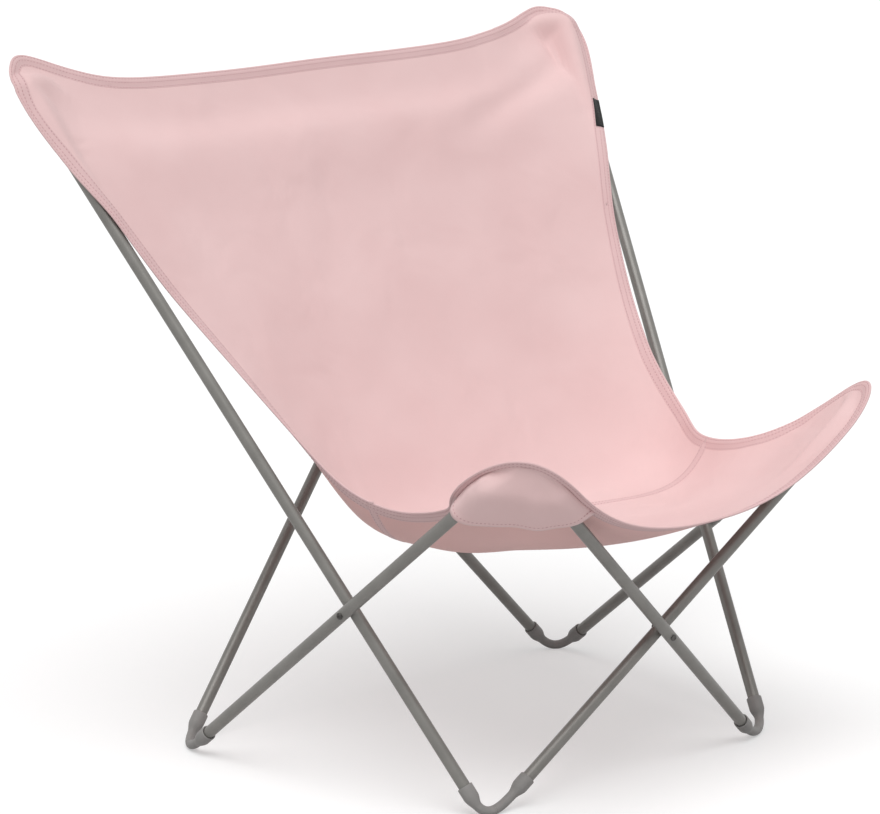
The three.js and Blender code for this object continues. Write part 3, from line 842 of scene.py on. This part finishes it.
def outline_curve():
    """Closed outline of the sling as places across and along, and where the seam ends on the left."""
    seam_left, seam_right = SEAM_PLACE + seam_offset(np.array([-1, 1]))
    share = np.linspace(0, 1, 100)
    square_out = np.concatenate([np.ones(99), share[::-1]])
    square_end = np.concatenate([share[:-1], np.ones(100)])
    corner_out, corner_end = 1 - CORNER_WIDTH * (1 - square_out), CORNER_LENGTH * (1 - square_end)
    back_out, back_end = rounded(corner_out, corner_end)
    front_out, front_end = rounded(corner_out, 1 - corner_end)
    top = np.linspace(1 - CORNER_WIDTH, -(1 - CORNER_WIDTH), 600)
    rise = np.linspace(seam_right, CORNER_LENGTH, 600)
    fall = np.linspace(CORNER_LENGTH, 1 - CORNER_LENGTH, 900)
    up = np.linspace(1 - CORNER_LENGTH, seam_right, 300)
    ones = np.ones_like
    across = np.concatenate([ones(rise), back_out, top, -back_out[::-1], -ones(fall), -front_out, -top,
                             front_out[::-1], ones(up)])
    along = np.concatenate([rise, back_end, 0 * top, back_end[::-1], fall, front_end, 0 * top + 1,
                            front_end[::-1], up])
    left_end = len(rise) + 2 * len(back_out) + len(top) + np.searchsorted(fall, seam_left)
    return across, along, left_end


def resample(across, along):
    travel = travel_along(surface(across, along))
    even = np.linspace(0, travel[-1], int(travel[-1] / HEM_SPACING) + 1)
    return np.interp(even, travel, across), np.interp(even, travel, along)


HEM_SPACING = 3.0
STITCH_ROWS = (2.2, 7.5, 14.5)
# Half thickness of the hem at rising distances from its edge, with a dip along each row of stitches
HEM_PROFILE = (
    (0.0, 1.25), (0.6, 1.5), (1.4, 1.6), (2.2, 1.2), (3.0, 1.6), (5.0, 1.65), (6.7, 1.6), (7.5, 1.2),
    (8.3, 1.55), (9.0, 1.35), (9.6, 1.1), (13.6, 1.1), (14.5, 0.8), (15.4, 1.05), (16.2, 0.95), (16.8, 0.5),
)
# The rounded outer edge: how far it stands out and its half thickness there
EDGE_REACH = 0.9
EDGE_SHOULDER = (0.65, 0.75)
full_across, full_along, left_end = outline_curve()
back_across, back_along = resample(full_across[:left_end + 1], full_along[:left_end + 1])
seat_across, seat_along = resample(full_across[left_end:], full_along[left_end:])
loop_across = np.concatenate([back_across, seat_across[1:-1]])
loop_along = np.concatenate([back_along, seat_along[1:-1]])
hem_distances = [distance for distance, _ in HEM_PROFILE]
hem_points, hem_normals, hem_inward = trace_band(loop_across, loop_along, hem_distances, 1, True)


def band_uv(reach, travel):
    """Cloth coordinates in metres of a band's rings."""
    return np.stack(np.broadcast_arrays(reach[None], travel[:, None]), axis=-1).reshape(-1, 2) * 0.001


def hem_mesh(points, normals, inward):
    """A flat band with a rounded outer edge along a traced curve."""
    halves = np.array([half for _, half in HEM_PROFILE])[:, None, None]
    edge = points[0] - inward[0] * EDGE_REACH
    shoulder = points[0] - inward[0] * EDGE_SHOULDER[0]
    rise = normals[0] * EDGE_SHOULDER[1]
    lower = (points - normals * halves)[::-1]
    ring = np.stack([edge, shoulder + rise, *(points + normals * halves), *lower, shoulder - rise], axis=1)
    faces = [face[::-1] for face in closed_band(ring)]
    reach = np.concatenate([[-EDGE_REACH, -0.5], hem_distances, hem_distances[::-1], [-0.5]])
    return ring.reshape(-1, 3), faces, band_uv(reach, travel_along(points[0]))


STITCH_PITCH = 5.0
STITCH_LENGTH = 4.2
STITCH_RADIUS = 0.42
STITCH_SIDES = 5
STITCH_LIFT = 0.12
# Faces of one stitch: a point, two rings and a point
STITCH_FACES = []
for k in range(STITCH_SIDES):
    here, there = 1 + k, 1 + (k + 1) % STITCH_SIDES
    STITCH_FACES.append((0, here, there))
    STITCH_FACES.append((here, here + STITCH_SIDES, there + STITCH_SIDES, there))
    STITCH_FACES.append((there + STITCH_SIDES, here + STITCH_SIDES, 1 + 2 * STITCH_SIDES))


def stitch_mesh(curve, normals, lift):
    """A row of short threads lying on a curve."""
    travel = travel_along(curve)
    middles = np.arange(STITCH_PITCH / 2, travel[-1] - STITCH_PITCH / 2, STITCH_PITCH)
    shares = np.array([-1 / 2, -1 / 6, 1 / 6, 1 / 2])
    at = [between(middles + offset, travel, curve) for offset in shares * STITCH_LENGTH]
    normal = unit(between(middles, travel, normals))
    side = np.cross(normal, unit(at[3] - at[0]))
    sunk = normal * (lift - STITCH_RADIUS)
    points = [at[0] + sunk]
    for place in at[1:3]:
        for angle in np.arange(STITCH_SIDES) * 2 * math.pi / STITCH_SIDES:
            rise = lift + STITCH_RADIUS * math.cos(angle)
            points.append(place + normal * rise + side * STITCH_RADIUS * math.sin(angle))
    points.append(at[3] + sunk)
    return np.stack(points, axis=1).reshape(-1, 3)


def sew(name, rows, body):
    """One piece of several rows of stitches."""
    points = np.vstack(rows)
    starts = range(0, len(points), 2 + 2 * STITCH_SIDES)
    faces = [tuple(start + i for i in face) for start in starts for face in STITCH_FACES]
    hang(new_piece(name, points, faces, thread), body)


count_back = len(back_across)
spans = {
    "back": np.arange(count_back),
    "seat": np.concatenate([np.arange(count_back - 1, len(loop_across)), [0]]),
}
for part, index in spans.items():
    body = f"sling_{part}"
    points, faces, uv = hem_mesh(*(values[:, index] for values in (hem_points, hem_normals, hem_inward)))
    hang(new_piece(f"{body}_hem", points, faces, hem_canvas, uv), body)
    rows = []
    for distance in STITCH_ROWS:
        ring = hem_distances.index(distance)
        lift = HEM_PROFILE[ring][1] + STITCH_LIFT
        for facing in (1, -1):
            rows.append(stitch_mesh(hem_points[ring, index], hem_normals[ring, index] * facing, lift))
    sew(f"{body}_hem_stitches", rows, body)


# Cross seam: a flat felled band over the meeting of the two panels

SEAM_PROFILE = ((0.0, 1.15), (3.6, 1.15), (4.4, 0.85), (5.2, 1.15), (6.2, 1.0), (6.8, 0.5))
SEAM_ROW = 4.4
SEAM_LIFT = 0.97
across = np.linspace(-1, 1, 360)
seam_across, seam_along = resample(across, SEAM_PLACE + seam_offset(across))
seam_distances, halves = np.array(SEAM_PROFILE).T
sides = [trace_band(seam_across, seam_along, seam_distances, sign, False) for sign in (1, -1)]
middle, facing = (np.concatenate([sides[0][k][::-1], sides[1][k][1:]]) for k in range(2))
thick = np.concatenate([halves[::-1], halves[1:]])[:, None, None]
ring = np.moveaxis(np.concatenate([middle + facing * thick, (middle - facing * thick)[::-1]]), 0, 1)
reach = np.concatenate([seam_distances[::-1], -seam_distances[1:]])
uv = band_uv(np.concatenate([reach, reach[::-1]]), np.arange(len(ring)) * HEM_SPACING)
seam = new_piece("sling_cross_seam", ring.reshape(-1, 3), closed_band(ring), hem_canvas, uv)
hang(seam, "sling_back")
row = list(seam_distances).index(SEAM_ROW)
rows = [stitch_mesh(side[0][row], side[1][row] * way, SEAM_LIFT) for side in sides for way in (1, -1)]
sew("sling_cross_seam_stitches", rows, "sling_back")


# Pockets: cloth drawn from one side of a tongue's hem to the other, below the tubes and the connector

POCKET_MOUTH = -30
POCKET_ROOM = 3.0
POCKET_SECTIONS = 44
POCKET_POINTS = 61
POCKET_HALF = 0.6
POCKET_SAG = 7.0
POCKET_FOLD = 2.5
MOUTH_HEM = 8.0
MOUTH_STITCH = 5.0
POCKET_LIFT = 1.1
POCKET_RANGE = 260
COVER_RANGE = 240
LOOSE_REACH = 95
SEWN_RING = 8
SEWN_DEPTH = 0.8
EASE_ROWS = 15
SEWN_SHARE = 0.7
BAR_SIDES = 48
# Part of the sling that each pocket is sewn to, and its slack
POCKETS = {
    "back_left": ("back", 0.5),
    "back_right": ("back", 0.5),
    "front_left": ("seat", 1),
    "front_right": ("seat", 0.2),
}


def lower_chain(points):
    """The corners of the bowed line that runs below points in order."""
    chain = []
    for point in points:
        while len(chain) > 1 and turn_of(chain[-1] - chain[-2], point - chain[-1]) <= 0:
            chain.pop()
        chain.append(point)
    return chain


def hull(points):
    """Corners of the convex outline of flat points, in order round it."""
    order = points[np.lexsort((points[:, 1], points[:, 0]))]
    return np.array(lower_chain(order)[:-1] + lower_chain(order[::-1])[:-1])


def under_path(left, right, bars):
    """Taut line from one hem point to the other below round bars: (side, height, radius) each."""
    circle = spokes(*np.eye(2), BAR_SIDES)
    ring = hull(np.vstack([left, right, *(np.array(bar[:2]) + bar[2] * circle for bar in bars)]))
    start = np.argmin(np.linalg.norm(ring - left, axis=1))
    finish = np.argmin(np.linalg.norm(ring - right, axis=1))
    ring = np.roll(ring, -start, axis=0)
    finish = (finish - start) % len(ring)
    one = ring[:finish + 1]
    other = np.vstack([ring[:1], ring[finish:][::-1]])
    path = min((one, other), key=lambda part: np.mean(part[:, 1])).copy()
    path[0], path[-1] = left, right
    travel = travel_along(path)
    return between(np.linspace(0, travel[-1], POCKET_POINTS), travel, path)


def pocket_grid(tip, seam, mouth):
    """Sections of a pocket from its mouth to the top of the tongue, as places in the tip's plane."""
    top = np.argmax(seam[:, 1])
    sides = [seam[:top + 1], seam[top:][::-1]]
    path, radii = tip["path"], tip["radii"]
    middle = len(path) // 2
    bars = [(path[:middle + 1], radii[:middle + 1]), (path[middle:][::-1], radii[middle:][::-1])]
    share = np.linspace(0, 1, POCKET_SECTIONS)
    sections = []
    for axis in mouth + (seam[top, 1] - 1.5 - mouth) * (1 - (1 - share) ** 1.7):
        hems = [between(axis, side[:, 1], side[:, ::2]) for side in sides]
        room = (radii + POCKET_ROOM) ** 2 - (path[:, 1] - axis) ** 2
        below = [(*path[i, ::2], math.sqrt(room[i])) for i in np.where(room > 0)[0]]
        for bar, sizes in bars:
            if axis < bar[-1, 1]:
                size = np.interp(axis, bar[:, 1], sizes)
                below.append((*between(axis, bar[:, 1], bar[:, ::2]), size + POCKET_ROOM))
        line = under_path(hems[0], hems[1], below)
        sections.append(np.stack([line[:, 0], np.full(POCKET_POINTS, axis), line[:, 1]], axis=-1))
    return np.array(sections)


def eased(rows):
    """Evens rows of numbers out along the first axis, and keeps the first and last."""
    kernel = np.hanning(EASE_ROWS + 2)[1:-1]
    reach = EASE_ROWS // 2
    padded = np.concatenate([2 * rows[:1] - rows[reach:0:-1], rows, 2 * rows[-1:] - rows[-2:-reach - 2:-1]])
    return sum(weight * padded[k:k + len(rows)] for k, weight in enumerate(kernel / np.sum(kernel)))


def taut(places):
    """Draws a pocket tight from its mouth to the top of the tongue: no line of it bulges inwards."""
    across = np.linspace(0, 1, places.shape[1])
    inner = smoothstep(0, 0.16, np.minimum(across, 1 - across))[None, :, None]
    places = places * (1 - inner) + eased(eased(places).swapaxes(0, 1)).swapaxes(0, 1) * inner
    drawn = places.copy()
    for k in range(places.shape[1]):
        line = places[:, k, 1:]
        chain = np.array(lower_chain(line))
        drawn[:, k, 2] = np.interp(line[:, 0], chain[:, 0], chain[:, 1])
    return places * (1 - inner) + (0.4 * drawn + 0.6 * eased(drawn)) * inner


def off_seam(rows):
    """How free each section of a pocket hangs: not at all where its top is sewn to the tongue."""
    return smoothstep(1, SEWN_SHARE, np.linspace(0, 1, rows))[:, None]


def below_top(places, cover):
    """Keeps a pocket under its tongue: the cover's heights at the nearest places are its upper limit."""
    flat = places.reshape(-1, 3)
    height = np.zeros(len(flat))
    for i, place in enumerate(flat):
        reach = np.sum((cover[:, :2] - place[:2]) ** 2, axis=1)
        close = np.argpartition(reach, 4)[:4]
        weight = 1 / (reach[close] + 0.01)
        height[i] = weight @ cover[close, 2] / np.sum(weight)
    height = height.reshape(places.shape[:2])
    across = np.linspace(0, 1, places.shape[1])
    inner = smoothstep(0, 0.12, np.minimum(across, 1 - across)) * off_seam(len(places))
    limited = places.copy()
    limited[:, :, 2] = np.minimum(places[:, :, 2], height - 0.8 - 2.4 * inner)
    return limited


pocket_stitches = {"back": [], "seat": []}
pockets = {}
for place, (part, give) in POCKETS.items():
    tip = tips[f"tip_{place}"]
    sewn = in_tip(tip, hem_points[SEWN_RING] - hem_normals[SEWN_RING] * SEWN_DEPTH)
    near = (np.linalg.norm(sewn, axis=1) < POCKET_RANGE) & (sewn[:, 1] > 2 * POCKET_MOUTH)
    cover = in_tip(tip, grids[part].reshape(-1, 3))
    cover = cover[np.linalg.norm(cover, axis=1) < COVER_RANGE]
    places = taut(pocket_grid(tip, sewn[near], POCKET_MOUTH))
    across = np.linspace(0, math.pi, POCKET_POINTS)
    near_mouth = smoothstep(POCKET_MOUTH + LOOSE_REACH, POCKET_MOUTH, places[:, :, 1])
    loose = near_mouth * off_seam(POCKET_SECTIONS)
    slack = POCKET_SAG - POCKET_FOLD * np.sin(5 * across + 0.6) + POCKET_FOLD / 3 * np.sin(9 * across + 2)
    places[:, :, 2] -= give * loose * slack * np.sin(across) ** 2
    grid = out_of_tip(tip, below_top(places, cover))
    from_mouth = np.linalg.norm(grid - grid[:1], axis=2)
    half = POCKET_HALF + 0.5 * smoothstep(MOUTH_HEM + 0.6, MOUTH_HEM - 0.6, from_mouth)
    pockets[place], normals = new_sheet(f"pocket_{place}_patch", grid, half, tip["basis"][2], canvas)
    hang(pockets[place], f"sling_{part}", f"pocket_{place}")
    row = np.argmin(np.abs(from_mouth[:, POCKET_POINTS // 2] - MOUTH_STITCH))
    facing = normals.reshape(grid.shape)[row]
    pocket_stitches[part] += [stitch_mesh(grid[row], facing * way, POCKET_LIFT) for way in (1, -1)]
for part, rows in pocket_stitches.items():
    sew(f"pocket_{part}_stitches", rows, f"sling_{part}")


# Blank tag sewn flat on the right hem

TAG_FROM, TAG_TO = 0.165, 0.2235
TAG_WIDTH = 13.0
TAG_LIFT = 2.15
tag_index = np.where((loop_across > 0.99) & (loop_along > TAG_FROM) & (loop_along < TAG_TO))[0]
tag_layers = []
for reach in np.linspace(0.2, TAG_WIDTH, 13):
    k = min(np.searchsorted(hem_distances, reach, side="right") - 1, len(hem_distances) - 2)
    share = (reach - hem_distances[k]) / (hem_distances[k + 1] - hem_distances[k])
    place, normal = (values[k, tag_index] * (1 - share) + values[k + 1, tag_index] * share
                     for values in (hem_points, hem_normals))
    tag_layers.append(place + unit(normal) * TAG_LIFT)
tag_grid = np.stack(tag_layers, axis=1)
tag_half = np.full(tag_grid.shape[:2], 0.42)
tag_half[[0, -1]] = 0.6
tag, _ = new_sheet("label_tag_ribbon", tag_grid, tag_half, UPWARD, tag_ribbon)
hang(tag, "sling_back", "label_tag")


# Stage: floor, light and camera


def seen_strength(nodes, lighting, background):
    """One strength for light on the object, another for what is seen directly or in metal."""
    rays = add_node(nodes, "LightPath")
    found, output = rays, "Is Camera Ray"
    for kind in ("Is Glossy Ray", "Is Transmission Ray"):
        either = add_node(nodes, "Math")
        either.operation = "MAXIMUM"
        join(found, output, either, 0)
        join(rays, kind, either, 1)
        found, output = either, "Value"
    strength = add_node(nodes, "MapRange")
    set_inputs(strength, {"To Min": lighting, "To Max": background})
    join(found, output, strength, "Value")
    return strength


floor_material, nodes, shader = new_material("floor")
set_inputs(shader, {"Base Color": (0.62, 0.62, 0.62, 1), "Emission Color": (1, 1, 1, 1)})
set_inputs(shader, {"Roughness": 0.9, "Specular IOR Level": 0.1})
join(seen_strength(nodes, 0.0, 0.4), "Result", shader, "Emission Strength")
floor_mesh = bpy.data.meshes.new("floor")
floor_mesh.from_pydata([(-40, -40, 0), (40, -40, 0), (40, 40, 0), (-40, 40, 0)], [], [(0, 1, 2, 3)])
floor_mesh.materials.append(floor_material)
floor = add_object("floor", floor_mesh)
floor.location.z = -0.0002

world = bpy.data.worlds.new("studio")
bpy.context.scene.world = world
world.use_nodes = True
sky = world.node_tree.nodes["Background"]
sky.inputs["Color"].default_value = (1, 1, 1, 1)
join(seen_strength(world.node_tree.nodes, 0.46, 1.0), "Result", sky, "Strength")

sun_data = bpy.data.lights.new("key", "SUN")
sun_data.energy = 2.1
sun_data.angle = math.radians(50)
sun = add_object("key", sun_data)
sun.rotation_euler = (math.radians(14), math.radians(-16), 0)

CAMERA_PLACE = (-3.3454, -3.4261, 1.5073)
YAW, PITCH, ROLL = math.radians(43.38), math.radians(-12.44), math.radians(-0.31)
FOCAL_PIXELS = 3700
IMAGE_WIDTH, IMAGE_HEIGHT = 880, 814
PRINCIPAL = (431.0, 403.6)
SENSOR = 36
forward = np.array([math.sin(YAW) * math.cos(PITCH), math.cos(YAW) * math.cos(PITCH), math.sin(PITCH)])
right = np.array([math.cos(YAW), -math.sin(YAW), 0])
up = np.cross(right, forward)
right, up = right * math.cos(ROLL) + up * math.sin(ROLL), up * math.cos(ROLL) - right * math.sin(ROLL)
camera_data = bpy.data.cameras.new("camera")
camera_data.sensor_width = SENSOR
camera_data.lens = FOCAL_PIXELS * SENSOR / IMAGE_WIDTH
camera_data.shift_x = (IMAGE_WIDTH / 2 - PRINCIPAL[0]) / IMAGE_WIDTH
camera_data.shift_y = (PRINCIPAL[1] - IMAGE_HEIGHT / 2) / IMAGE_WIDTH
camera = add_object("camera", camera_data)
turned = np.stack([right, up, -forward, CAMERA_PLACE], axis=-1)
camera.matrix_world = Matrix([*turned.tolist(), (0, 0, 0, 1)])
bpy.context.scene.camera = camera
bpy.context.scene.view_settings.view_transform = "Standard"
